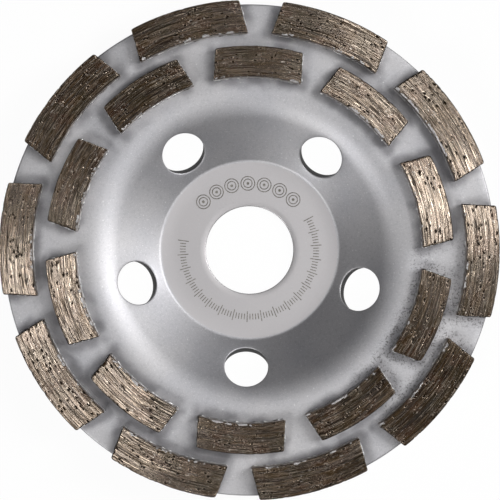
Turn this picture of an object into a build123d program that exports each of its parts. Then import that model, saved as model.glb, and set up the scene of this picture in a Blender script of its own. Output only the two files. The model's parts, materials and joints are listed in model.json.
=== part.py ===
"""Double-row diamond cup wheel, 125 mm, for dry grinding of concrete on an angle grinder.

Frame: origin at the centre of the hub's back face, +Z along the spindle axis towards the working face.
Angles run about +Z from +X. Lengths are in millimetres, angles in degrees.
"""

import math
import os

from build123d import *

# Wheel
wheel_diameter = 125.0
bore_diameter = 22.23
bore_chamfer = 0.4

# Pressed steel body
sheet_thickness = 3.0
cup_depth = 8.15
rim_inset = 0.8
rim_edge_radius = 0.6
hub_bend_radius = 6.0
land_bend_radius = 10.0
land_margin = 3.8

# Share of the wall's length that either bend may take, and rounds that settle the wall's slope
bend_share = 0.45
slope_rounds = 40

# Turned seat for the lock nut, at the bottom of the cup
nut_seat_diameter = 44.6
nut_seat_depth = 0.3
hub_corner_clearance = 0.64

# Vent holes in the sloping wall
vent_count = 5
vent_diameter = 11.0
vent_phase = 52.4

# Segment rows; the slots are measured between neighbours at the row's inner radius
segments_per_row = 10
segment_height = 5.0
segment_corner_radius = 0.4
outer_segment_width = 8.3
outer_slot = 5.73
outer_row_phase = -2.7
row_gap = 3.2
inner_segment_width = 7.7
inner_slot = 4.96

# Radii that follow from the sizes above
bore_radius = bore_diameter / 2
nut_seat_radius = nut_seat_diameter / 2
outer_row_radius = wheel_diameter / 2
outer_row_inner_radius = outer_row_radius - outer_segment_width
inner_row_radius = outer_row_inner_radius - row_gap
inner_row_inner_radius = inner_row_radius - inner_segment_width
body_radius = outer_row_radius - rim_inset
land_start_radius = inner_row_inner_radius - land_margin
hub_corner_radius = nut_seat_radius + hub_corner_clearance

# Heights and angles that follow
nut_seat_height = sheet_thickness - nut_seat_depth
land_height = sheet_thickness + cup_depth
segment_pitch = 360 / segments_per_row
inner_row_phase = outer_row_phase + segment_pitch / 2


def bend_reach(radius, turn):
    """How far a bend of this radius reaches along each of its two straight sides."""
    return radius * math.tan(turn / 2)


def wall_form():
    """Slope of the wall in radians, and the radii of its hub bend and land bend on the hollow side.

    The land bend ends where the flat land begins. Each bend keeps to its share of the wall's length.
    """
    slope = math.atan2(cup_depth, land_start_radius - hub_corner_radius)
    for _ in range(slope_rounds):
        largest_bend = bend_share * cup_depth / math.sin(slope) / math.tan(slope / 2)
        hub_bend = min(hub_bend_radius, largest_bend - sheet_thickness)
        land_bend = min(land_bend_radius, largest_bend)
        land_corner = land_start_radius - bend_reach(land_bend, slope)
        slope = math.atan2(cup_depth, land_corner - hub_corner_radius)
    return slope, hub_bend, land_bend


slope, hub_bend, land_bend = wall_form()
land_corner_radius = land_start_radius - bend_reach(land_bend, slope)


def body_section():
    """Half section of the pressed sheet in the XZ plane: one even thickness along hub, wall and land."""
    back_shift = bend_reach(sheet_thickness, slope)
    outline = [
        ((bore_radius, sheet_thickness), 0),
        ((hub_corner_radius, sheet_thickness), hub_bend),
        ((land_corner_radius, land_height), land_bend),
        ((body_radius, land_height), rim_edge_radius),
        ((body_radius, cup_depth), rim_edge_radius),
        ((land_corner_radius + back_shift, cup_depth), land_bend - sheet_thickness),
        ((hub_corner_radius + back_shift, 0), hub_bend + sheet_thickness),
        ((bore_radius, 0), 0),
    ]
    points = [point for point, radius in outline]
    radii = [radius for point, radius in outline]
    return make_face(Plane.XZ * FilletPolyline(*points, radius=radii, close=True))


def vent_frames():
    """One plane for each vent hole, on the middle of the wall's front face and square to the wall."""
    wall_start = hub_corner_radius + bend_reach(hub_bend, slope) * math.cos(slope)
    wall_end = land_corner_radius - bend_reach(land_bend, slope) * math.cos(slope)
    radius = (wall_start + wall_end) / 2
    height = sheet_thickness + (radius - hub_corner_radius) * math.tan(slope)
    frames = []
    for k in range(vent_count):
        angle = math.radians(vent_phase + 360 / vent_count * k)
        across = Vector(math.cos(angle), math.sin(angle), 0)
        centre = across * radius + Vector(0, 0, height)
        square_to_wall = Vector(0, 0, math.cos(slope)) - across * math.sin(slope)
        frames.append(Plane(origin=centre, z_dir=square_to_wall))
    return frames


def cup_body():
    """The pressed body, with the turned seat for the nut, the bore and the vent holes."""
    body = revolve(body_section(), axis=Axis.Z)
    from_below = (Align.CENTER, Align.CENTER, Align.MIN)
    body -= Pos(0, 0, nut_seat_height) * Cylinder(nut_seat_radius, cup_depth, align=from_below)
    round_edges = body.edges().filter_by(GeomType.CIRCLE)
    bore_rims = [edge for edge in round_edges if math.isclose(edge.radius, bore_radius, abs_tol=0.01)]
    body = chamfer(bore_rims, bore_chamfer)
    for frame in vent_frames():
        body -= frame * Cylinder(vent_diameter / 2, 4 * sheet_thickness)
    return body


def segment_length(inner_radius, slot):
    """Length of a segment with parallel ends that leaves the slot to its neighbour at the inner radius."""
    half_slot = math.asin(slot / 2 / inner_radius)
    half_pitch = math.radians(segment_pitch / 2)
    return 2 * inner_radius * math.sin(half_pitch - half_slot)


def segment(outer_radius, inner_radius, slot, angle):
    """One sintered segment: an arc between two radii, with ends parallel to its own centre line."""
    length = segment_length(inner_radius, slot)
    ends = Rectangle(outer_radius, length, align=(Align.MIN, Align.CENTER))
    outline = (Circle(outer_radius) - Circle(inner_radius)) & ends
    outline = fillet(outline.vertices(), segment_corner_radius)
    block = extrude(outline, amount=segment_height)
    return Pos(0, 0, land_height) * Rot(0, 0, angle) * block


def segment_row(name, outer_radius, inner_radius, slot, phase):
    """All the segments of one row, by node name, evenly spaced from the row's phase."""
    return {
        f"{name}_{k + 1:02d}": segment(outer_radius, inner_radius, slot, phase + segment_pitch * k)
        for k in range(segments_per_row)
    }


def all_nodes():
    """Every node of the wheel by name."""
    outer_row = (outer_row_radius, outer_row_inner_radius, outer_slot, outer_row_phase)
    inner_row = (inner_row_radius, inner_row_inner_radius, inner_slot, inner_row_phase)
    nodes = {"cup_body": cup_body()}
    nodes |= segment_row("outer_segment", *outer_row)
    nodes |= segment_row("inner_segment", *inner_row)
    return nodes


def main():
    os.makedirs("parts", exist_ok=True)
    for name, shape in all_nodes().items():
        shape.label = name
        export_step(shape, f"parts/{name}.step")


main()
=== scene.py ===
import json
import math

import bpy
import numpy as np
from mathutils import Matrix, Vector


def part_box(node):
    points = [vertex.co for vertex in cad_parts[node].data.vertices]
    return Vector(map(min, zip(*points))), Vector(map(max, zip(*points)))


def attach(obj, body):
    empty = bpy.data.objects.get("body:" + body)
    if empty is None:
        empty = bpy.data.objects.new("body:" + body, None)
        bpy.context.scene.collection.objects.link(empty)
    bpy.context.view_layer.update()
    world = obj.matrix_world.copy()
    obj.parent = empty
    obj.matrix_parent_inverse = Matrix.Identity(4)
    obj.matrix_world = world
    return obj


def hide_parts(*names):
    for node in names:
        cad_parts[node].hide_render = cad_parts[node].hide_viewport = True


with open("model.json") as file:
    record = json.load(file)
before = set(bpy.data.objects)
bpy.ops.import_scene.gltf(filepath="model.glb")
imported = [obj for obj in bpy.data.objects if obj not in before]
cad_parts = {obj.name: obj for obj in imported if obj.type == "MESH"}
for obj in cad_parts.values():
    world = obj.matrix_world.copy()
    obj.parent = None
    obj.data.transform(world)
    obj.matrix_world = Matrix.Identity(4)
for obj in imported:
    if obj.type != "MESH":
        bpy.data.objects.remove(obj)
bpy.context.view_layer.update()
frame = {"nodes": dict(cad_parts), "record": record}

# Lengths below are in metres, angles in radians unless a name says degrees
MM = 0.001
TAU = 2 * math.pi

# What the frame says of the wheel
BODY_NODE = "cup_body"
OUTER_NODES = [name for name in sorted(frame["nodes"]) if name.startswith("outer_segment")]
INNER_NODES = [name for name in sorted(frame["nodes"]) if name.startswith("inner_segment")]
MOUNTS = {mount["name"]: mount for mount in frame["record"]["mounts"]}
BODY_LOW, BODY_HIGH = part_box(BODY_NODE)
RIM_RADIUS = BODY_HIGH.x
LAND_HEIGHT = BODY_HIGH.z
NUT_SEAT_HEIGHT = MOUNTS["nut_face"]["pos_m"][2]
BORE_RADIUS = MOUNTS["bore"]["dims"]["r_mm"] * MM

# The pressed sheet: its wall as in the solid, with the real wheel's crisp hub corner and wide land bend
SHEET = 3.0 * MM
BORE_EDGE = 0.15 * MM
NUT_SEAT_RADIUS = 22.3 * MM
SEAT_DISH_START = 18.5 * MM
SEAT_DISH_TILT = math.radians(3.2)
SEAT_CORNER_WIDTH = 0.75 * MM
HUB_CORNER_RADIUS = 22.94 * MM
HUB_BEND = 6.0 * MM
LAND_BEND = 15.0 * MM
LAND_START_RADIUS = 40.8 * MM
RIM_EDGE = 0.4 * MM

# Vent holes, punched from the front: a rolled edge, a dip round it, and a break-out that widens to the back
VENT_COUNT = 5
VENT_RADIUS = 5.5 * MM
VENT_CENTRE_RADIUS = 29.43 * MM
VENT_PHASE = math.radians(52.4)
VENT_EDGE = 0.25 * MM
VENT_BREAK_OUT = 0.4 * MM
VENT_DIP = 0.14 * MM
VENT_DIP_WIDTH = 1.7 * MM

# Segments: corners, the steps of their mesh, and how deep grinding has worked into them
SEGMENT_CORNER = 0.4 * MM
SEGMENT_STEP_ACROSS = 0.1 * MM
SEGMENT_STEP_ALONG = 0.26 * MM
SEGMENT_STEPS_UP = 10
GROOVE_DEPTH = 0.16 * MM
PIT_DEPTH = 0.25 * MM
CHIP_DEPTH = 0.12 * MM
GRIT_RADIUS = 0.16 * MM
GRIT_SINK = 0.13 * MM
GRIT_PER_SQUARE_METRE = 0.45e6

# Braze beads: the thinnest, and the thickest of either row
BRAZE_THIN = 0.1 * MM
BRAZE_THICK = {"outer": 0.36 * MM, "inner": 0.5 * MM}
BRAZE_STEP = 0.32 * MM
BRAZE_RIM_MARGIN = 0.3 * MM

# The side of the rim on which some dark grinding dust lies between the segments
DUST_SIDE = math.radians(334)

# Share of a pixel that a bump's slope is taken over; small, so that fine ground lines keep their direction
BUMP_SPAN = 0.02

# Mesh of the body: steps round it, the patch of them that each vent hole takes, and steps along its section
BODY_STEPS = 480
VENT_PATCH_STEPS = 36
VENT_PATCH_BELOW, VENT_PATCH_ABOVE = 6.2 * MM, 6.4 * MM
VENT_RINGS = 8
VENT_RING_CROWDING = 0.8
VENT_EDGE_STEPS = 4
FINE_STEP, COARSE_STEP, CORNER_STEP = 0.55 * MM, 1.6 * MM, 0.1 * MM
BEND_MARGIN = 0.3 * MM
BORE_EDGE_STEPS, RIM_EDGE_STEPS = 3, 5

# Rounds of the small searches for a slope, a corner and a depth, each far more than it needs
SLOPE_ROUNDS, CORNER_ROUNDS, DEPTH_ROUNDS = 40, 20, 30
SEAT_CURVE_POINTS = 400

# Soft boxes: azimuth from +X and zenith from +Z in degrees, distance, width and height, and radiance
SOFT_BOXES = {
    "key_box": (14, 39, 1.2, (0.4, 0.6), 10.8),
    "fill_box": (231, 38, 1.2, (0.42, 0.5), 7.8),
    "ceiling_box": (15, 10, 1.6, (1.0, 1.0), 1.2),
    "low_box": (20, 62, 1.2, (1.9, 0.4), 1.25),
}
SOFT_BOX_AIM = Vector((0.0, 0.0, 10 * MM))
TABLE_HALF_WIDTH = 1.5


class Link:
    """A socket of a node tree. Plain arithmetic on it adds Math nodes to the tree."""

    def __init__(self, board, socket):
        self.board = board
        self.socket = socket

    def also(self, name):
        """Another output of the node that this one comes from."""
        return Link(self.board, self.socket.node.outputs[name])

    def __add__(self, other):
        return self.board.math("ADD", self, other)

    __radd__ = __add__

    def __sub__(self, other):
        return self.board.math("SUBTRACT", self, other)

    def __rsub__(self, other):
        return self.board.math("SUBTRACT", other, self)

    def __mul__(self, other):
        return self.board.math("MULTIPLY", self, other)

    __rmul__ = __mul__

    def __truediv__(self, other):
        return self.board.math("DIVIDE", self, other)

    def __rtruediv__(self, other):
        return self.board.math("DIVIDE", other, self)


class Board:
    """A node tree, with one method that adds any node to it."""

    def __init__(self, tree):
        self.tree = tree

    def node(self, kind, settings=None, sockets=None, output=0):
        """Adds a node: its settings first, then the values or links of its sockets."""
        node = self.tree.nodes.new(kind)
        for name, value in (settings or {}).items():
            setattr(node, name, value)
        for name, value in (sockets or {}).items():
            if isinstance(value, Link):
                self.tree.links.new(value.socket, node.inputs[name])
            else:
                node.inputs[name].default_value = value
        return Link(self, node.outputs[output]) if node.outputs else node

    def math(self, operation, *values):
        return self.node("ShaderNodeMath", {"operation": operation}, dict(enumerate(values)))

    def vector(self, x, y, z):
        return self.node("ShaderNodeCombineXYZ", None, {0: x, 1: y, 2: z})

    def parts(self, vector):
        """The three numbers of a vector."""
        x = self.node("ShaderNodeSeparateXYZ", None, {0: vector})
        return x, x.also("Y"), x.also("Z")

    def rise(self, value, low, high, start=0.0, end=1.0):
        """Goes smoothly from start to end while the value goes from low to high."""
        settings = {"interpolation_type": "SMOOTHSTEP", "clamp": True}
        sockets = {0: value, 1: low, 2: high, 3: start, 4: end}
        return self.node("ShaderNodeMapRange", settings, sockets)

    def noise(self, place, scale, detail=2.0, roughness=0.5):
        """Soft noise about 0.5, with features of about one over the scale."""
        sockets = {"Vector": place, "Scale": scale, "Detail": detail, "Roughness": roughness}
        return self.node("ShaderNodeTexNoise", {"noise_dimensions": "3D"}, sockets)

    def cells(self, place, scale):
        """Distance to the nearest of scattered points; its other outputs tell the cells apart."""
        return self.node("ShaderNodeTexVoronoi", {"feature": "F1"}, {"Vector": place, "Scale": scale})

    def random(self, low, high, seed):
        """A number or vector for each element, between two limits, from a fixed seed."""
        kind, socket, output = ("FLOAT_VECTOR", 0, 0) if isinstance(low, tuple) else ("FLOAT", 2, 1)
        sockets = {socket: low, socket + 1: high, "Seed": seed}
        return self.node("FunctionNodeRandomValue", {"data_type": kind}, sockets, output)

    def set_material(self, geometry, material):
        """The geometry, all of it in one material."""
        return self.node("GeometryNodeSetMaterial", None, {"Geometry": geometry, "Material": material})

    def join(self, *geometry):
        """One geometry from several."""
        joined = self.tree.nodes.new("GeometryNodeJoinGeometry")
        for part in geometry:
            self.tree.links.new(part.socket, joined.inputs[0])
        return Link(self, joined.outputs[0])

    def blend(self, share, first, second):
        """Mixes two colours: the first where the share is 0, the second where it is 1."""
        settings = {"data_type": "RGBA", "clamp_factor": True}
        return self.node("ShaderNodeMix", settings, {0: share, 6: first, 7: second}, output=2)


def rgb(red, green, blue):
    """A colour of plain linear shares, with full opacity."""
    return (red, green, blue, 1.0)


# Colours of the painted body: the paint and its flake, the turned seat, smoke stains that are partly painted
# shade round the segments, dust and bare edges
PAINT_CLOUDS = rgb(0.452, 0.449, 0.469), rgb(0.507, 0.499, 0.508)
PAINT_MOTTLE = rgb(0.2, 0.2, 0.215)
PAINT_FLAKE = rgb(0.78, 0.78, 0.78)
PAINT_SPECK = rgb(0.85, 0.85, 0.84)
SEAT_TONE = rgb(0.485, 0.466, 0.469)
SMOKE_AND_SHADE = rgb(0.13, 0.127, 0.135)
DUST = rgb(0.07, 0.065, 0.06)
CUT_STEEL = rgb(0.035, 0.034, 0.034)

# Colours of the segments: the matrix and what shows in it, the glints and shade painted into it, and the
# paint that has landed on their sides
MATRIX_TONES = rgb(0.02, 0.009, 0.0025), rgb(0.082, 0.046, 0.014)
MATRIX_SHEEN = rgb(0.94, 0.8, 0.68)
RUST = rgb(0.08, 0.032, 0.014)
OLIVE = rgb(0.04, 0.03, 0.011)
METAL_GRAIN = rgb(0.45, 0.4, 0.34)
PAINTED_GLINT = rgb(0.78, 0.72, 0.64)
METAL_POLISH = rgb(0.74, 0.63, 0.52)
HOLLOW_SHADE = rgb(0.02, 0.016, 0.013)
OVERSPRAY = rgb(0.44, 0.43, 0.43)
GRIT_TONES = rgb(0.05, 0.045, 0.04), rgb(0.62, 0.58, 0.5)

# Colours of the braze, the marks, the table and the room
BRAZE_TONES = rgb(0.42, 0.42, 0.43), rgb(0.72, 0.72, 0.71)
BRAZE_STAIN = rgb(0.09, 0.075, 0.06)
DYE_TONES = rgb(0.13, 0.12, 0.1), rgb(0.3, 0.285, 0.26)
TABLE_TONES = rgb(0.93, 0.93, 0.93), rgb(0.95, 0.95, 0.95)
ROOM = rgb(0.0115, 0.012, 0.018)
WHITE = rgb(1, 1, 1)


def new_material(name):
    """An empty material and its board."""
    material = bpy.data.materials.new(name)
    material.use_nodes = True
    material.node_tree.nodes.clear()
    return material, Board(material.node_tree)


def finish_material(board, colour, roughness, metallic, bump=None, more=None):
    """Ends a material in one surface shader, with its bump and further values where it has them."""
    sockets = {"Base Color": colour, "Roughness": roughness, "Metallic": metallic, **(more or {})}
    if bump is not None:
        height, distance, strength = bump
        sockets["Normal"] = board.node("ShaderNodeBump", None, {
            "Strength": strength, "Distance": distance, "Filter Width": BUMP_SPAN, "Height": height
        })
    surface = board.node("ShaderNodeBsdfPrincipled", None, sockets)
    board.node("ShaderNodeOutputMaterial", None, {"Surface": surface})


def stored(board, name):
    """A value that the mesh holds under this name."""
    return board.node("ShaderNodeAttribute", {"attribute_name": name}, output="Fac")


def object_place(board):
    """The position in the piece's own coordinates, which are the wheel's."""
    return board.node("ShaderNodeTexCoord", output="Object")


def wheel_place(board):
    """A point's position, its distance from the axis, the two parts of its direction, and its height."""
    position = object_place(board)
    x, y, z = board.parts(position)
    radius = board.math("POWER", x * x + y * y, 0.5)
    return position, radius, x / radius, y / radius, z


def row_distance(board, radius, across, up, sizes):
    """Distance on the land from the nearest segment of a row."""
    pitch = TAU / len(OUTER_NODES)
    angle = board.math("ARCTAN2", up, across) - (sizes["Turn"] - pitch / 2)
    angle = board.math("FLOORED_MODULO", angle, pitch) - pitch / 2
    along = board.math("ABSOLUTE", radius * board.math("SINE", angle)) - sizes["Length"] / 2
    inside = board.math("MAXIMUM", sizes["Inner Radius"] - radius, radius - sizes["Outer Radius"])
    along = board.math("MAXIMUM", along, 0.0)
    inside = board.math("MAXIMUM", inside, 0.0)
    return board.math("SQRT", along * along + inside * inside)


def silver_paint():
    """Satin silver paint with fine flake, smoother on the turned seat, darker round the segments: part smoke
    stain, part painted shade where their shadows fall.
    """
    material, board = new_material("silver_paint")
    position, radius, across, up, z = wheel_place(board)
    cloud = board.noise(position, 60, 3, 0.55)
    blotch = board.noise(position, 240, 2, 0.6)
    mottle = board.noise(position, 1500, 3, 0.7)
    flake = board.noise(position, 3600, 1, 0.5)
    cell = board.cells(position, 900)
    speck = board.rise(cell, 0.2, 0.08) * board.math("GREATER_THAN", cell.also("Color"), 0.66)
    speck = speck * board.rise(board.noise(position, 260, 1), 0.48, 0.6)
    turned = board.noise(board.vector(across * 2.0, up * 2.0, radius * 5200), 1, 2, 0.6)
    on_seat = board.rise(radius, NUT_SEAT_RADIUS + 0.1 * MM, NUT_SEAT_RADIUS - 0.2 * MM)
    on_seat = on_seat * board.rise(z, NUT_SEAT_HEIGHT - 0.3 * MM, NUT_SEAT_HEIGHT - 0.1 * MM)
    cut = stored(board, "cut_edge")

    rows = [segment_sizes(nodes[0]) for nodes in (OUTER_NODES, INNER_NODES)]
    near = board.math("MINIMUM", *[row_distance(board, radius, across, up, sizes) for sizes in rows])
    # Painted shade: the land darkened round the segments where their shadows fall, partly as braze smoke
    reach = near + (cloud - 0.5) * 5 * MM + (blotch - 0.5) * 1.5 * MM
    smoke_and_shade = board.rise(reach, 3.2 * MM, 0.4 * MM)
    smoke_and_shade = smoke_and_shade * board.rise(z, LAND_HEIGHT - 0.4 * MM, LAND_HEIGHT - 0.1 * MM)
    smoke_and_shade = smoke_and_shade * board.rise(board.noise(position, 105, 2, 0.5), 0.4, 0.56, 0.25, 1.0)
    beside = across * math.cos(DUST_SIDE) + up * math.sin(DUST_SIDE)
    dusty = board.rise(beside + (cloud - 0.5) * 0.2, 0.86, 0.95)
    dusty = dusty * board.rise(near + (cloud - 0.5) * 6 * MM, 4.5 * MM, 1.0 * MM)
    dusty = dusty * board.rise(z, LAND_HEIGHT - 1.2 * MM, LAND_HEIGHT)
    dust = board.rise(board.noise(position, 2100, 2, 0.7), 0.54, 0.61) * dusty

    colour = board.blend(board.rise(cloud, 0.3, 0.7), *PAINT_CLOUDS)
    colour = board.blend(board.rise(mottle, 0.5, 0.68) * 0.2, colour, PAINT_MOTTLE)
    colour = board.blend(board.rise(flake, 0.58, 0.72) * 0.35, colour, PAINT_FLAKE)
    colour = board.blend(speck * 0.5, colour, PAINT_SPECK)
    colour = board.blend(on_seat * 0.8, colour, SEAT_TONE)
    colour = board.blend(smoke_and_shade * 0.65, colour, SMOKE_AND_SHADE)
    colour = board.blend(dust * 0.7, colour, DUST)
    colour = board.blend(cut, colour, CUT_STEEL)
    roughness = 0.42 + cloud * 0.08 + flake * 0.06 + smoke_and_shade * 0.05 + cut * 0.2 - on_seat * 0.15
    metallic = 0.86 - cut * 0.66
    peel = board.noise(position, 900, 2, 0.5)
    painted = peel * 0.5 + flake * 0.25 + speck * 0.5 + blotch * smoke_and_shade
    height = painted * (1 - on_seat * 0.7) + on_seat * turned * 0.25
    finish_material(board, colour, roughness, metallic, bump=(height, 0.02 * MM, 0.5))
    return material


def sintered_matrix():
    """Ground face of a segment: dark brown matrix with bright streaks, pits, furrows and top edges painted
    black as shade, pale flecks painted as glints, and silver-painted sides.
    """
    material, board = new_material("sintered_matrix")
    position, radius, across, up = wheel_place(board)[:4]
    side, edge, pit = [stored(board, name) for name in ("side", "edge", "pit")]

    streak = board.noise(board.vector(across * 3.5, up * 3.5, radius * 1900), 1, 3, 0.55)
    fine = board.noise(board.vector(across * 9, up * 9, radius * 4400), 1, 1, 0.6)
    tint = board.noise(board.vector(across * 6, up * 6, radius * 1600), 1, 2, 0.6)
    patch = board.noise(position, 150, 3, 0.6)
    rust = board.noise(position, 230, 2, 0.5)
    grain = board.noise(position, 2600, 2, 0.6)

    colour = board.blend(board.rise(tint, 0.36, 0.64), *MATRIX_TONES)
    colour = board.blend(board.rise(rust, 0.5, 0.66) * 0.5, colour, RUST)
    colour = board.blend(board.rise(patch, 0.48, 0.62) * 0.6, colour, OLIVE)
    colour = board.blend(board.rise(grain, 0.64, 0.76) * 0.6, colour, METAL_GRAIN)
    # Painted glints: pale flecks in the matrix that stay bright whatever the light
    painted_glint = board.noise(board.vector(across * 48, up * 48, radius * 2800), 1, 2, 0.65)
    painted_glint = board.rise(painted_glint, 0.63, 0.69) * board.rise(rust, 0.45, 0.6)
    colour = board.blend(painted_glint * 0.9, colour, PAINTED_GLINT)
    polish = board.noise(board.vector(across * 7, up * 7, radius * 4300), 1, 1, 0.5)
    polish = board.rise(polish, 0.57, 0.68)
    colour = board.blend(polish * 0.55, colour, METAL_POLISH)
    # Painted shade: black painted into furrows, pits and along the top's edges, where shade falls
    furrow = board.noise(board.vector(across * 5, up * 5, radius * 3000), 1, 1, 0.5)
    furrow = board.rise(furrow, 0.43, 0.34) * board.rise(patch, 0.35, 0.55, 0.25, 0.8)
    hollow_shade = board.math("MAXIMUM", furrow, board.math("MAXIMUM", board.rise(pit, 0.25, 0.6), edge * 0.85))
    colour = board.blend(hollow_shade, colour, HOLLOW_SHADE)
    ragged = board.noise(position, 1300, 3, 0.75)
    painted = board.rise(side + (ragged - 0.5) * 2.4, 0.45, 0.6)
    colour = board.blend(painted, colour, OVERSPRAY)
    bare = 1 - painted
    roughness = (0.12 + fine * 0.12 + hollow_shade * 0.35) * bare + painted * 0.48
    shiny = board.math("MAXIMUM", hollow_shade, polish)
    metallic = (0.3 + shiny * 0.7) * bare + painted * 0.9
    scratch = board.math("PINGPONG", radius * (1000 / 0.1) + streak * 3, 0.5) * 2
    height = streak + fine * 0.3 + grain * 0.1 + scratch * 0.212
    height = height * (0.2 + bare * 0.8) + ragged * painted * 2.5
    sheen = {"IOR": 3.0, "Specular Tint": MATRIX_SHEEN}
    finish_material(board, colour, roughness, metallic, bump=(height, 0.1 * MM, 1.0), more=sheen)
    return material


def braze_metal():
    """Bright, uneven braze at the segments' feet, half covered by overspray."""
    material, board = new_material("braze_metal")
    position = object_place(board)
    lumps = board.noise(position, 1500, 3, 0.6)
    stain = board.noise(position, 420, 2, 0.5)
    colour = board.blend(board.rise(lumps, 0.35, 0.65), *BRAZE_TONES)
    colour = board.blend(board.rise(stain, 0.58, 0.68) * 0.8, colour, BRAZE_STAIN)
    finish_material(board, colour, 0.28 + lumps * 0.25, 0.8, bump=(lumps, 0.08 * MM, 0.8))
    return material


def diamond_grit():
    """Dark to straw-coloured diamond crystals that stand a little out of the matrix."""
    material, board = new_material("diamond_grit")
    kind = board.noise(object_place(board), 700, 1)
    colour = board.blend(board.rise(kind, 0.4, 0.6), *GRIT_TONES)
    finish_material(board, colour, 0.22 + kind * 0.1, 0.1, more={"IOR": 2.0})
    return material


def marking_dye():
    """The brownish grey of marks burnt into the seat."""
    material, board = new_material("marking_dye")
    burn = board.noise(object_place(board), 1800, 2, 0.6)
    colour = board.blend(board.rise(burn, 0.35, 0.7), *DYE_TONES)
    finish_material(board, colour, 0.5 + burn * 0.15, 0.35, bump=(burn, 0.01 * MM, 0.4))
    return material


def link_piece(name, mesh, *materials):
    """Puts a finished mesh into the scene under its name, with its materials."""
    piece = bpy.data.objects.new(name, mesh)
    bpy.context.scene.collection.objects.link(piece)
    for material in materials:
        mesh.materials.append(material)
    return piece


def arc_points(centre_r, centre_z, radius, start, end, steps):
    """Points of the section along an arc; angles are measured from +r towards +z."""
    angles = np.linspace(start, end, steps + 1)
    return [(centre_r + radius * math.cos(a), centre_z + radius * math.sin(a)) for a in angles]


def wall_slope():
    """Slope of the sheet's wall, which ends in a bend where the flat land begins."""
    rise = LAND_HEIGHT - SHEET
    slope = math.atan2(rise, LAND_START_RADIUS - HUB_CORNER_RADIUS)
    for _ in range(SLOPE_ROUNDS):
        corner = LAND_START_RADIUS - LAND_BEND * math.tan(slope / 2)
        slope = math.atan2(rise, corner - HUB_CORNER_RADIUS)
    return slope


SLOPE = wall_slope()
HUB_BEND_START = HUB_CORNER_RADIUS - HUB_BEND * math.tan(SLOPE / 2)
WALL_END = LAND_START_RADIUS - LAND_BEND * math.sin(SLOPE)


def wall_height(radius):
    """Height of the straight wall's front face, which the seat's dish cuts short."""
    return SHEET + (radius - HUB_CORNER_RADIUS) * math.tan(SLOPE)


def seat_curve():
    """Radii and heights of the front face from the seat's flat, through its faint dish, up to the wall."""
    corner = NUT_SEAT_RADIUS
    for _ in range(CORNER_ROUNDS):
        end = corner + SEAT_CORNER_WIDTH
        radii = np.linspace(SEAT_DISH_START, end, SEAT_CURVE_POINTS)
        tilts = np.interp(radii, [SEAT_DISH_START, corner, end], [0, SEAT_DISH_TILT, SLOPE])
        slopes = np.tan(tilts)
        steps = np.diff(radii) * (slopes[1:] + slopes[:-1]) / 2
        heights = NUT_SEAT_HEIGHT + np.concatenate([[0], np.cumsum(steps)])
        corner += (heights[-1] - wall_height(radii[-1])) / math.tan(SLOPE)
    return radii, heights


SEAT_RADII, SEAT_HEIGHTS = seat_curve()
WALL_START = SEAT_RADII[-1]


def front_height(radius):
    """Height of the sheet's front face above the bench, at any distance from the axis."""
    radius = np.asarray(radius, float)
    hub = np.interp(radius, SEAT_RADII, SEAT_HEIGHTS)
    inward = np.clip(LAND_START_RADIUS - radius, 0, LAND_BEND)
    land = LAND_HEIGHT - LAND_BEND + np.sqrt(np.maximum(LAND_BEND**2 - inward**2, 0))
    return np.where(radius < WALL_START, hub, np.where(radius < WALL_END, wall_height(radius), land))


def back_height(radius):
    """Height of the sheet's back face above the bench, one sheet below the front along the wall's normal."""
    radius = np.asarray(radius, float)
    large, small = HUB_BEND + SHEET, LAND_BEND - SHEET
    hub = large - np.sqrt(np.maximum(large**2 - np.clip(radius - HUB_BEND_START, 0, large) ** 2, 0))
    start = HUB_BEND_START + large * math.sin(SLOPE)
    start_height = large * (1 - math.cos(SLOPE))
    wall = start_height + (radius - start) * math.tan(SLOPE)
    end = LAND_START_RADIUS - small * math.sin(SLOPE)
    inward = np.clip(LAND_START_RADIUS - radius, 0, small)
    land = LAND_HEIGHT - SHEET - small + np.sqrt(np.maximum(small**2 - inward**2, 0))
    return np.where(radius < start, hub, np.where(radius < end, wall, land))


def spaced(start, end, step):
    """Even steps after the start up to and with the end, none longer than the step."""
    count = max(1, math.ceil(abs(end - start) / step))
    return list(np.linspace(start, end, count + 1)[1:])


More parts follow.
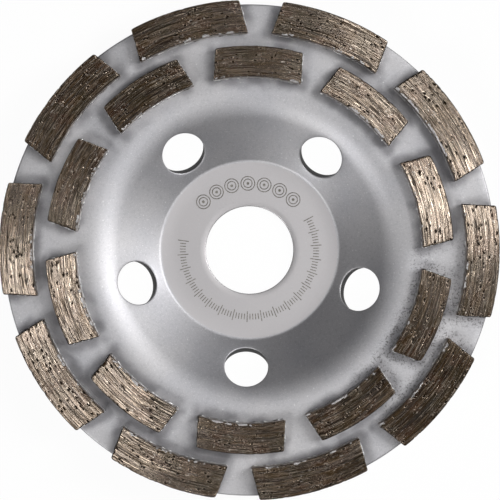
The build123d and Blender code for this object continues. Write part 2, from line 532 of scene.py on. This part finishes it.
def body_section():
    """The closed section of the body as rings (radius, height), and the first ring of each face's vent patch.

    Also gives how many rings a patch spans, and how many of the first rings belong to the bore.
    """
    bore_edge, rim_edge = BORE_RADIUS + BORE_EDGE, RIM_RADIUS - RIM_EDGE
    upper = NUT_SEAT_HEIGHT - BORE_EDGE
    rings = arc_points(bore_edge, BORE_EDGE, BORE_EDGE, -math.pi / 2, -math.pi, BORE_EDGE_STEPS)[1:]
    bore_rings = len(rings) + 1
    rings += arc_points(bore_edge, upper, BORE_EDGE, math.pi, math.pi / 2, BORE_EDGE_STEPS)

    patch_low, patch_high = VENT_CENTRE_RADIUS - VENT_PATCH_BELOW, VENT_CENTRE_RADIUS + VENT_PATCH_ABOVE
    corner_start, land_start = WALL_START - SEAT_CORNER_WIDTH, LAND_START_RADIUS + BEND_MARGIN
    front = spaced(bore_edge, SEAT_DISH_START, COARSE_STEP)
    front += spaced(SEAT_DISH_START, corner_start, FINE_STEP)
    front += spaced(corner_start, WALL_START, CORNER_STEP)
    front += spaced(WALL_START, patch_low, FINE_STEP)
    front_patch = len(rings) + len(front) - 1
    front_across = spaced(patch_low, patch_high, FINE_STEP)
    front += front_across
    front += spaced(patch_high, land_start, FINE_STEP)
    front += spaced(land_start, rim_edge, COARSE_STEP)
    rings += [(r, float(front_height(r))) for r in front]

    top, bottom = LAND_HEIGHT - RIM_EDGE, LAND_HEIGHT - SHEET + RIM_EDGE
    rings += arc_points(rim_edge, top, RIM_EDGE, math.pi / 2, 0, RIM_EDGE_STEPS)[1:]
    rings += arc_points(rim_edge, bottom, RIM_EDGE, 0, -math.pi / 2, RIM_EDGE_STEPS)

    shift = SHEET * math.sin(SLOPE)
    back_low, back_high = patch_low + shift, patch_high + shift
    bend_start = HUB_BEND_START - BEND_MARGIN
    back = spaced(rim_edge, land_start, COARSE_STEP)
    back += spaced(land_start, back_high, FINE_STEP)
    back_patch = len(rings) + len(back) - 1
    back += list(np.linspace(back_high, back_low, len(front_across) + 1)[1:])
    back += spaced(back_low, bend_start, FINE_STEP)
    back += spaced(bend_start, bore_edge, COARSE_STEP)
    rings += [(r, float(back_height(r))) for r in back]
    return rings, front_patch, back_patch, len(front_across), bore_rings


def vent_frame(angle):
    """Centre of a vent on the wall's front face, its axis, and the directions across, beside and uphill."""
    across = np.array([math.cos(angle), math.sin(angle), 0.0])
    beside = np.array([-math.sin(angle), math.cos(angle), 0.0])
    upward = np.array([0.0, 0.0, 1.0])
    centre = across * VENT_CENTRE_RADIUS + upward * float(front_height(VENT_CENTRE_RADIUS))
    axis = upward * math.cos(SLOPE) - across * math.sin(SLOPE)
    uphill = upward * math.sin(SLOPE) + across * math.cos(SLOPE)
    return centre, axis, across, beside, uphill


def vent_spokes(angle, offset_angle):
    """Directions square to a vent's axis, at angles measured from uphill."""
    beside, uphill = vent_frame(angle)[3:]
    return np.outer(np.cos(offset_angle), uphill) + np.outer(np.sin(offset_angle), beside)


def vent_surface(angle, height_of, offset_angle, reach):
    """Where lines square to the wall, at a reach from a vent's axis, meet the face of the sheet."""
    centre, axis = vent_frame(angle)[:2]
    start = centre + reach * vent_spokes(angle, offset_angle)
    depth = np.zeros(len(offset_angle))
    for _ in range(DEPTH_ROUNDS):
        point = start + depth[:, None] * axis
        miss = point[:, 2] - height_of(np.hypot(point[:, 0], point[:, 1]))
        depth -= miss * math.cos(SLOPE)
    return start + depth[:, None] * axis


def line_vent(points, faces, border, angle, direction):
    """Adds the rings from a patch's border to a vent's mouth and over its edge, and gives the last of them.

    The direction is 1 on the sheet's front face and -1 on its back face.
    """
    front = direction > 0
    height_of = front_height if front else back_height
    hole = VENT_RADIUS + (0 if front else VENT_BREAK_OUT)
    middle = VENT_CENTRE_RADIUS + (0 if front else SHEET * math.sin(SLOPE))
    axis, across, beside = vent_frame(angle)[1:4]
    outer = np.array([points[n] for n in border])[:, :2]
    offset = np.arctan2(outer @ beside[:2], (outer @ across[:2] - middle) / math.cos(SLOPE))
    mouth = vent_surface(angle, height_of, offset, hole + VENT_EDGE)

    def add_ring(ring, previous):
        """Adds one ring of points, and the faces between it and the ring before."""
        new = list(range(len(points), len(points) + len(border)))
        points.extend(tuple(point) for point in ring)
        faces.extend(quads_between(previous, new, direction))
        return new

    last = border
    for ring in range(1, VENT_RINGS + 1):
        share = (ring / VENT_RINGS) ** VENT_RING_CROWDING
        flat = outer * (1 - share) + mouth[:, :2] * share
        last = add_ring(np.column_stack([flat, height_of(np.hypot(flat[:, 0], flat[:, 1]))]), last)
    spokes = vent_spokes(angle, offset)
    middle_line = mouth - (hole + VENT_EDGE) * spokes
    for turn in np.linspace(0, math.pi / 2, VENT_EDGE_STEPS + 1)[1:]:
        reach = hole + VENT_EDGE * (1 - math.sin(turn))
        sink = VENT_EDGE * (1 - math.cos(turn)) * direction
        last = add_ring(middle_line + reach * spokes - sink * axis, last)
    return last


def body_mesh():
    """The body as one closed mesh: rings round the axis, with a patch of rings round each vent hole.

    Gives its points, its faces, and the numbers of the points on cut edges.
    """
    rings, front_patch, back_patch, rows, bore_rings = body_section()
    count = len(rings)
    radius, height = np.array(rings).T
    turns = VENT_PHASE + TAU * np.arange(BODY_STEPS) / BODY_STEPS
    grid = np.stack([
        np.outer(np.cos(turns), radius), np.outer(np.sin(turns), radius), np.tile(height, (BODY_STEPS, 1))
    ], axis=-1)
    points = [tuple(point) for point in grid.reshape(-1, 3)]
    faces = []
    cut = [n for n in range(len(points)) if n % count < bore_rings]
    half = VENT_PATCH_STEPS // 2
    pitch = BODY_STEPS // VENT_COUNT

    def number(step, ring):
        """Number of a point of the grid; both the step and the ring go round."""
        return (step % BODY_STEPS) * count + ring % count

    def in_patch(step, ring):
        """Whether a face of the grid makes room for a vent's patch."""
        beside = (step + half) % pitch < VENT_PATCH_STEPS
        return beside and any(low <= ring < low + rows for low in (front_patch, back_patch))

    def patch_border(step, low_ring, direction):
        """Numbers of the points round a patch, from its uphill middle, in the direction of rising step."""
        uphill, downhill = (low_ring + rows, low_ring) if direction > 0 else (low_ring, low_ring + rows)
        border = [number(step + s, uphill) for s in range(0, half)]
        border += [number(step + half, uphill - direction * k) for k in range(rows)]
        border += [number(step + s, downhill) for s in range(half, -half, -1)]
        border += [number(step - half, downhill + direction * k) for k in range(rows)]
        border += [number(step + s, uphill) for s in range(-half, 0)]
        return border

    for step in range(BODY_STEPS):
        for ring in range(count):
            if not in_patch(step, ring):
                corners = [(step, ring), (step, ring + 1), (step + 1, ring + 1), (step + 1, ring)]
                faces.append([number(*corner) for corner in corners])
    for k in range(VENT_COUNT):
        angle = VENT_PHASE + TAU * k / VENT_COUNT
        front, back = [
            line_vent(points, faces, patch_border(k * pitch, low_ring, direction), angle, direction)
            for low_ring, direction in ((front_patch, 1), (back_patch, -1))
        ]
        faces += quads_between(front, back, 1)
        cut += front + back
    return dip_round_vents(np.array(points)), faces, cut


def dip_round_vents(points):
    """The sheet drawn down a little round each punched hole, as the punch leaves it."""
    for k in range(VENT_COUNT):
        centre, axis, across = vent_frame(VENT_PHASE + TAU * k / VENT_COUNT)[:3]
        arm = points - centre
        reach = np.linalg.norm(arm - np.outer(arm @ axis, axis), axis=1)
        depth = VENT_DIP * np.exp(-np.maximum(reach - VENT_RADIUS, 0) / VENT_DIP_WIDTH)
        points = points - np.outer(np.where(points @ across > 0, depth, 0), axis)
    points[:, 2] = np.maximum(points[:, 2], 0)
    return points


def quads_between(first, second, direction):
    """Faces between two loops with as many points each."""
    total = len(first)
    quads = []
    for k in range(total):
        after = (k + 1) % total
        quad = [first[k], first[after], second[after], second[k]]
        quads.append(quad if direction > 0 else quad[::-1])
    return quads


def make_body(paint):
    """The painted body, closer meshed than the solid that it stands for."""
    points, faces, cut = body_mesh()
    mesh = bpy.data.meshes.new("cup_body_pressed")
    mesh.from_pydata([tuple(p) for p in points], [], faces)
    mesh.validate()
    mesh.shade_smooth()
    bare = np.zeros(len(points), np.float32)
    bare[cut] = 1
    mesh.attributes.new("cut_edge", "FLOAT", "POINT").data.foreach_set("value", bare)
    return link_piece("cup_body_pressed", mesh, paint)


def segment_sizes(node):
    """Radii, length, foot, height and turn of a segment, read from its solid."""
    points = np.array([vertex.co for vertex in frame["nodes"][node].data.vertices])
    radii = np.hypot(points[:, 0], points[:, 1])
    middle = points.mean(axis=0)
    rough_turn = math.atan2(middle[1], middle[0])
    angles = np.arctan2(points[:, 1], points[:, 0]) - rough_turn
    angles = (angles + math.pi) % TAU - math.pi
    turn = rough_turn + (angles.min() + angles.max()) / 2
    along = points[:, 1] * math.cos(turn) - points[:, 0] * math.sin(turn)
    return {
        "Inner Radius": float(radii.min()),
        "Outer Radius": float(radii.max()),
        "Length": float(np.ptp(along)),
        "Foot": float(points[:, 2].min()),
        "Height": float(np.ptp(points[:, 2])),
        "Turn": turn,
    }


def new_form(name, **inputs):
    """A geometry tree whose inputs are named by kind; gives the tree, its board and a link for each input."""
    tree = bpy.data.node_groups.new(name, "GeometryNodeTree")
    tree.interface.new_socket("Geometry", in_out="OUTPUT", socket_type="NodeSocketGeometry")
    for kind, labels in inputs.items():
        for label in labels:
            tree.interface.new_socket(label, in_out="INPUT", socket_type="NodeSocket" + kind)
    board = Board(tree)
    source = tree.nodes.new("NodeGroupInput")
    given = {label: Link(board, source.outputs[label]) for labels in inputs.values() for label in labels}
    return tree, board, given


def end_form(board, geometry):
    """Realizes what a geometry tree made and hands it out."""
    realized = board.node("GeometryNodeRealizeInstances", None, {0: geometry})
    board.node("NodeGroupOutput", None, {0: realized})


def grow(name, tree, values):
    """A piece from a geometry tree with these inputs, its result kept as a plain mesh."""
    holder = bpy.data.objects.new(name + "_holder", bpy.data.meshes.new(name + "_holder"))
    bpy.context.scene.collection.objects.link(holder)
    modifier = holder.modifiers.new("form", "NODES")
    modifier.node_group = tree
    for item in tree.interface.items_tree:
        if item.item_type == "SOCKET" and item.in_out == "INPUT":
            modifier[item.identifier] = values[item.name]
    graph = bpy.context.evaluated_depsgraph_get()
    mesh = bpy.data.meshes.new_from_object(holder.evaluated_get(graph), depsgraph=graph)
    mesh.name = name
    bpy.data.objects.remove(holder)
    return link_piece(name, mesh)


def segment_place(board, given, radial, along):
    """A place in a segment, from shares of its width and of its half length.

    Gives the distance from the axis, the one beside the segment's centre line, and the half length there.
    """
    width = given["Outer Radius"] - given["Inner Radius"]
    corner = given["Corner"]
    to_edge = board.math("MINIMUM", radial, 1 - radial) * width
    into_corner = board.math("MAXIMUM", corner - to_edge, 0.0)
    left = board.math("MAXIMUM", corner * corner - into_corner * into_corner, 0.0)
    half = given["Length"] * 0.5 - (corner - board.math("SQRT", left))
    return given["Inner Radius"] + width * radial, along * half, half


def segment_form():
    """Tree of one segment: a block between two radii with parallel ends, ground and pitted on top."""
    tree, board, given = new_form(
        "segment_form",
        Float=(
            "Inner Radius", "Outer Radius", "Length", "Foot", "Height", "Turn", "Corner",
            "Groove Depth", "Pit Depth", "Chip", "Seed", "Grit Density",
        ),
        Int=("Steps Across", "Steps Along", "Steps Up", "Grit Seed"),
        Material=("Matrix", "Grit"),
    )
    block = board.node("GeometryNodeMeshCube", None, {
        "Size": (1.0, 1.0, 1.0),
        "Vertices X": given["Steps Across"],
        "Vertices Y": given["Steps Along"],
        "Vertices Z": given["Steps Up"],
    })
    x, y, z = board.parts(board.node("GeometryNodeInputPosition"))
    radial, along, up = x + 0.5, y * 2, z + 0.5
    radius, beside, half = segment_place(board, given, radial, along)

    seed = given["Seed"]
    inward, outward = 1 - radial, radial
    near_top = board.rise(up, 0.35, 1.0)
    teeth = board.noise(board.vector(radius, beside, seed), 1300, 2, 0.6)
    bites = board.rise(board.noise(board.vector(radius, beside, seed + 5), 520, 3, 0.6), 0.5, 0.72)
    chip = given["Chip"] * (teeth * 0.6 + bites * 2.2) * (0.3 + near_top * 0.7)
    radius = radius + (inward * inward - outward * outward * 0.45) * chip
    beside = beside - along * board.math("ABSOLUTE", along) * chip * 0.7

    wide = board.noise(board.vector(radius * 1300, beside * 40, seed * 53), 1, 2, 0.6)
    scratch = board.noise(board.vector(radius * 2300, beside * 90, seed * 37), 1, 1, 0.6)
    scratch = board.rise(scratch, 0.58, 0.7)
    shaky = board.noise(board.vector(radius, beside, seed * 0.03), 1500, 1)
    shaken = beside * 0.8 + (shaky - 0.5) * 0.5 * MM
    cell = board.cells(board.vector(radius, shaken, seed * 0.01), 1050)
    dotted = board.rise(board.noise(board.vector(radius, beside, seed * 0.017 + 3), 320, 1), 0.44, 0.5)
    chosen = board.math("GREATER_THAN", cell.also("Color"), 0.36)
    pit = board.rise(cell, 0.265, 0.205) * dotted * chosen
    width = given["Outer Radius"] - given["Inner Radius"]
    to_side = board.math("MINIMUM", radial, 1 - radial) * width
    to_end = (1 - board.math("ABSOLUTE", along)) * half
    to_edge = board.math("MINIMUM", to_side, to_end)
    crumble = board.rise(to_edge - bites * 0.5 * MM, 0.15 * MM, -0.3 * MM)
    # Painted shade: mask of a black line along the top's edges, which the matrix colours as shade
    dark_line = board.rise(to_edge - (teeth - 0.5) * 0.3 * MM, 0.26 * MM, 0.1 * MM)

    on_top = board.math("GREATER_THAN", up, 0.999)
    sink = given["Groove Depth"] * (scratch * 0.7 + wide) + given["Pit Depth"] * pit
    sink = sink + given["Chip"] * crumble * 1.2
    height = given["Foot"] + given["Height"] * up - sink * on_top
    flat = board.math("SQRT", radius * radius - beside * beside)
    turn = given["Turn"]
    cosine, sine = board.math("COSINE", turn), board.math("SINE", turn)
    place = board.vector(flat * cosine - beside * sine, flat * sine + beside * cosine, height)

    spattered = board.rise(board.noise(board.vector(radius, beside, seed + 9), 260, 3, 0.7), 0.5, 0.62)
    spattered = spattered * board.rise(radial * width, 0.9 * MM, 0.2 * MM)
    side = (1 - on_top) * board.rise((1 - up) * given["Height"], 0.2 * MM, 1.6 * MM) + on_top * spattered
    kept = block
    for label, value in (("side", side), ("edge", dark_line * on_top), ("pit", pit * on_top)):
        settings = {"data_type": "FLOAT", "domain": "POINT"}
        sockets = {0: kept, "Name": label, "Value": value}
        kept = board.node("GeometryNodeStoreNamedAttribute", settings, sockets)
    moved = board.node("GeometryNodeSetPosition", None, {"Geometry": kept, "Position": place})
    smooth = board.node("GeometryNodeSetShadeSmooth", None, {0: moved})
    ended = board.set_material(smooth, given["Matrix"])
    end_form(board, board.join(ended, segment_grit(board, given, ended)))
    return tree


def segment_grit(board, given, block):
    """Diamond crystals scattered over the ground face, sunk so that only the larger ones' tips stand out."""
    facing = board.parts(board.node("GeometryNodeInputNormal"))[2]
    edge = board.node("GeometryNodeInputNamedAttribute", {"data_type": "FLOAT"}, {"Name": "edge"})
    clear = board.math("LESS_THAN", edge, 0.1) * board.math("GREATER_THAN", facing, 0.5)
    points = board.node("GeometryNodeDistributePointsOnFaces", {"distribute_method": "RANDOM"}, {
        "Mesh": block,
        "Selection": board.math("GREATER_THAN", clear, 0.5),
        "Density": given["Grit Density"],
        "Seed": given["Grit Seed"],
    })
    lowered = board.node("GeometryNodeSetPosition", None, {0: points, "Offset": (0.0, 0.0, -GRIT_SINK)})
    crystal = board.node("GeometryNodeMeshIcoSphere", None, {"Radius": GRIT_RADIUS, "Subdivisions": 1})
    size = board.random(0.55, 1.0, 3)
    turn = board.random((0.0, 0.0, 0.0), (TAU, TAU, TAU), 4)
    sockets = {"Points": lowered, "Instance": crystal, "Rotation": turn, "Scale": size}
    placed = board.node("GeometryNodeInstanceOnPoints", None, sockets)
    made = board.node("GeometryNodeRealizeInstances", None, {0: placed})
    return board.set_material(made, given["Grit"])


def make_segments(tree, matrix, grit):
    """Every segment of both rows, each ground its own way."""
    for number, node in enumerate(OUTER_NODES + INNER_NODES):
        sizes = segment_sizes(node)
        values = {
            **sizes,
            "Corner": SEGMENT_CORNER,
            "Steps Across": math.ceil((sizes["Outer Radius"] - sizes["Inner Radius"]) / SEGMENT_STEP_ACROSS),
            "Steps Along": math.ceil(sizes["Length"] / SEGMENT_STEP_ALONG),
            "Steps Up": SEGMENT_STEPS_UP,
            "Seed": 1.7 + 0.61 * number,
            "Groove Depth": GROOVE_DEPTH,
            "Pit Depth": PIT_DEPTH,
            "Chip": CHIP_DEPTH,
            "Grit Density": GRIT_PER_SQUARE_METRE,
            "Grit Seed": number,
            "Matrix": matrix,
            "Grit": grit,
        }
        piece = grow(node + "_ground", tree, values)
        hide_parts(node)
        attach(piece, "root")


def braze_form():
    """Tree of one row's braze: an uneven bead along the foot of each segment."""
    tree, board, given = new_form(
        "braze_form",
        Float=(
            "Inner Radius", "Outer Radius", "Length", "Foot", "Turn", "Corner",
            "Land Radius", "Thin", "Thick", "Seed",
        ),
        Int=("Count",),
        Material=("Braze",),
    )
    grid = board.node("GeometryNodeMeshGrid", None, {0: 1.0, 1: 1.0, "Vertices X": 30, "Vertices Y": 80})
    x, y = board.parts(board.node("GeometryNodeInputPosition"))[:2]
    radius, beside = segment_place(board, given, x + 0.5, y * 2)[:2]
    flat = board.math("SQRT", radius * radius - beside * beside)
    place = board.vector(flat, beside, given["Foot"])
    laid = board.node("GeometryNodeSetPosition", None, {0: grid, "Position": place})
    rim = board.math("LESS_THAN", board.node("GeometryNodeInputMeshEdgeNeighbors"), 1.5)
    x, y = board.parts(board.node("GeometryNodeInputPosition"))[:2]
    reach = board.math("SQRT", x * x + y * y)
    rim = rim * board.math("LESS_THAN", reach, given["Land Radius"])
    outline = board.node("GeometryNodeMeshToCurve", None, {0: laid, "Selection": rim})
    sockets = {0: outline, "Length": BRAZE_STEP}
    outline = board.node("GeometryNodeResampleCurve", {"mode": "LENGTH"}, sockets)

    spots = board.node("GeometryNodePoints", None, {"Count": given["Count"]})
    turn = given["Turn"] + board.node("GeometryNodeInputIndex") * (TAU / given["Count"])
    outline = board.node("GeometryNodeGeometryToInstance", None, {0: outline})
    sockets = {"Points": spots, "Instance": outline, "Rotation": board.vector(0.0, 0.0, turn)}
    ring = board.node("GeometryNodeInstanceOnPoints", None, sockets)
    ring = board.node("GeometryNodeRealizeInstances", None, {0: ring})

    x, y = board.parts(board.node("GeometryNodeInputPosition"))[:2]
    lumps = board.noise(board.vector(x, y, given["Seed"]), 620, 3, 0.65)
    bead = given["Thin"] + (given["Thick"] - given["Thin"]) * board.rise(lumps, 0.42, 0.72)
    profile = board.node("GeometryNodeCurvePrimitiveCircle", None, {"Resolution": 8, "Radius": 1.0})
    sockets = {0: ring, 1: profile, "Scale": bead, "Fill Caps": True}
    wire = board.node("GeometryNodeCurveToMesh", None, sockets)
    shake = board.noise(board.node("GeometryNodeInputPosition"), 1900, 2, 0.6)
    push = board.node("ShaderNodeVectorMath", {"operation": "SCALE"}, {
        0: board.node("GeometryNodeInputNormal"), "Scale": (shake - 0.62) * 0.25 * MM
    })
    wire = board.node("GeometryNodeSetPosition", None, {0: wire, "Offset": push})
    wire = board.node("GeometryNodeSetShadeSmooth", None, {0: wire})
    end_form(board, board.set_material(wire, given["Braze"]))
    return tree


def make_braze(tree, braze):
    """The braze beads of both rows, one piece for each row."""
    for name, nodes in (("outer", OUTER_NODES), ("inner", INNER_NODES)):
        values = {
            **segment_sizes(nodes[0]),
            "Corner": SEGMENT_CORNER,
            "Count": len(nodes),
            "Land Radius": RIM_RADIUS - RIM_EDGE - BRAZE_RIM_MARGIN,
            "Thin": BRAZE_THIN,
            "Thick": BRAZE_THICK[name],
            "Seed": BRAZE_THICK[name] / MM,
            "Braze": braze,
        }
        piece = grow(name + "_row_braze", tree, values)
        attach(piece, "root")


def marks_form():
    """Tree of the seat's plain marks: double rings with a dot, and a graduation, every fifth stroke long."""
    tree, board, given = new_form(
        "marks_form",
        Float=(
            "Seat Height", "Track Radius", "Stroke", "Ring Radius", "Ring Pitch", "First Ring",
            "Tick Pitch", "First Tick",
        ),
        Int=("Ring Count", "Tick Count"),
        Material=("Dye",),
    )
    stroke = given["Stroke"]
    thin = 0.04 * MM
    index = board.node("GeometryNodeInputIndex")

    def spread(number, first, pitch):
        """Points along the marks' track, and the direction of each."""
        turn = first + index * pitch
        place = board.vector(
            given["Track Radius"] * board.math("COSINE", turn),
            given["Track Radius"] * board.math("SINE", turn),
            given["Seat Height"],
        )
        return board.node("GeometryNodePoints", None, {"Count": number, "Position": place}), turn

    def on_points(points, instance, turn, scale):
        """An instance on each point, turned with the wheel."""
        rotation = board.vector(0.0, 0.0, turn)
        sockets = {"Points": points, "Instance": instance, "Rotation": rotation, "Scale": scale}
        return board.node("GeometryNodeInstanceOnPoints", None, sockets)

    def ring(resolution, radius):
        """One thin ring."""
        sockets = {"Resolution": resolution, "Radius": radius}
        circle = board.node("GeometryNodeCurvePrimitiveCircle", None, sockets)
        return board.node("GeometryNodeCurveToMesh", None, {0: circle, 1: section})

    sockets = {"Width": stroke, "Height": thin}
    section = board.node("GeometryNodeCurvePrimitiveQuadrilateral", None, sockets)
    outer_ring, inner_ring = ring(32, given["Ring Radius"]), ring(24, given["Ring Radius"] * 0.62)
    sockets = {"Vertices": 12, "Radius": stroke * 1.6, "Depth": thin}
    dot = board.node("GeometryNodeMeshCylinder", None, sockets)
    points, turn = spread(given["Ring Count"], given["First Ring"], given["Ring Pitch"])
    rings = on_points(points, board.join(outer_ring, inner_ring, dot), turn, (1.0, 1.0, 1.0))

    bar = board.node("GeometryNodeMeshCube", None, {"Size": board.vector(1.0 * MM, stroke, thin)})
    points, turn = spread(given["Tick Count"], given["First Tick"], given["Tick Pitch"])
    fifth = board.math("LESS_THAN", board.math("FLOORED_MODULO", index, 5.0), 0.5)
    ticks = on_points(points, bar, turn, board.vector(1.5 + fifth * 1.3, 1.0, 1.0))
    marks = board.node("GeometryNodeRealizeInstances", None, {0: board.join(rings, ticks)})
    end_form(board, board.set_material(marks, given["Dye"]))
    return tree


def make_marks(tree, dye):
    """The plain marks on the seat."""
    values = {
        "Seat Height": NUT_SEAT_HEIGHT - 0.002 * MM,
        "Ring Count": 7,
        "Ring Radius": 1.75 * MM,
        "Ring Pitch": math.radians(14.1),
        "First Ring": math.radians(49.1),
        "Track Radius": 16.9 * MM,
        "Tick Count": 91,
        "Tick Pitch": math.radians(-2.4),
        "First Tick": math.radians(28),
        "Stroke": 0.23 * MM,
        "Dye": dye,
    }
    piece = grow("seat_marks", tree, values)
    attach(piece, "root")


def add_soft_box(name, azimuth, zenith, distance, size, radiance):
    """A soft box that looks at the wheel; azimuth is from +X, zenith from +Z, both in degrees."""
    data = bpy.data.lights.new(name, "AREA")
    data.shape = "RECTANGLE"
    data.size, data.size_y = size
    data.energy = radiance * math.pi * data.size * data.size_y
    light = bpy.data.objects.new(name, data)
    a, z = math.radians(azimuth), math.radians(zenith)
    away = Vector((math.cos(a) * math.sin(z), math.sin(a) * math.sin(z), math.cos(z)))
    light.location = SOFT_BOX_AIM + distance * away
    light.rotation_euler = (SOFT_BOX_AIM - light.location).to_track_quat("-Z", "Y").to_euler()
    bpy.context.scene.collection.objects.link(light)


def make_floor():
    """A pale table that shows white to the camera and keeps the wheel's shadow round it; under the wheel it
    glows a little more, painted light that pales the shadow seen through the holes.
    """
    mesh = bpy.data.meshes.new("table")
    half = TABLE_HALF_WIDTH
    corners = [(-half, -half, 0), (half, -half, 0), (half, half, 0), (-half, half, 0)]
    mesh.from_pydata(corners, [], [(0, 1, 2, 3)])
    material, board = new_material("table_white")
    position, radius = wheel_place(board)[:2]
    tint = board.blend(board.noise(position, 3, 2), *TABLE_TONES)
    lit = board.node("ShaderNodeBsdfDiffuse", None, {"Color": tint})
    glow = board.node("ShaderNodeEmission", None, {"Color": WHITE, "Strength": 1.0})
    path = board.node("ShaderNodeLightPath", output="Is Camera Ray")
    seen = board.math("MAXIMUM", path.also("Is Glossy Ray"), path.also("Is Transmission Ray"))
    seen = board.math("MAXIMUM", path, seen)
    # Painted light: more glow under the wheel, where its shadow falls, than round it
    share = board.rise(radius, 45 * MM, 64 * MM, 0.98, 0.95)
    shader = board.node("ShaderNodeMixShader", None, {0: seen * share, 1: lit, 2: glow})
    board.node("ShaderNodeOutputMaterial", None, {"Surface": shader})
    table = link_piece("table", mesh, material)


def make_world():
    """A plain grey room, white where the camera looks straight into it."""
    world = bpy.data.worlds.new("grey_room")
    bpy.context.scene.world = world
    world.use_nodes = True
    world.node_tree.nodes.clear()
    board = Board(world.node_tree)
    room = board.node("ShaderNodeBackground", None, {"Color": ROOM, "Strength": 1.0})
    white = board.node("ShaderNodeBackground", None, {"Color": WHITE, "Strength": 1.0})
    path = board.node("ShaderNodeLightPath", output="Is Camera Ray")
    shader = board.node("ShaderNodeMixShader", None, {0: path, 1: room, 2: white})
    board.node("ShaderNodeOutputWorld", None, {"Surface": shader})


def make_camera():
    """A camera straight above the wheel, whose outer segments just reach the picture's edges."""
    distance = 0.85
    frame_pixels = 500
    wheel_pixels = 250.5
    centre_shift = 0.5
    data = bpy.data.cameras.new("camera")
    data.sensor_width = 36.0
    sizes = segment_sizes(OUTER_NODES[0])
    top = LAND_HEIGHT + sizes["Height"]
    reach = sizes["Outer Radius"]
    data.lens = wheel_pixels / frame_pixels * data.sensor_width * distance / reach
    data.shift_x = centre_shift / frame_pixels
    data.clip_start, data.clip_end = 0.01, 10
    camera = bpy.data.objects.new("camera", data)
    camera.location = (0, 0, top + distance)
    bpy.context.scene.collection.objects.link(camera)
    bpy.context.scene.camera = camera


def main():
    scene = bpy.context.scene
    scene.view_settings.view_transform = "Standard"
    make_camera()
    make_world()
    make_floor()
    for name, values in SOFT_BOXES.items():
        add_soft_box(name, *values)
    paint = silver_paint()
    matrix = sintered_matrix()
    body = make_body(paint)
    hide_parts(BODY_NODE)
    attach(body, "root")
    make_segments(segment_form(), matrix, diamond_grit())
    make_braze(braze_form(), braze_metal())
    make_marks(marks_form(), marking_dye())


main()
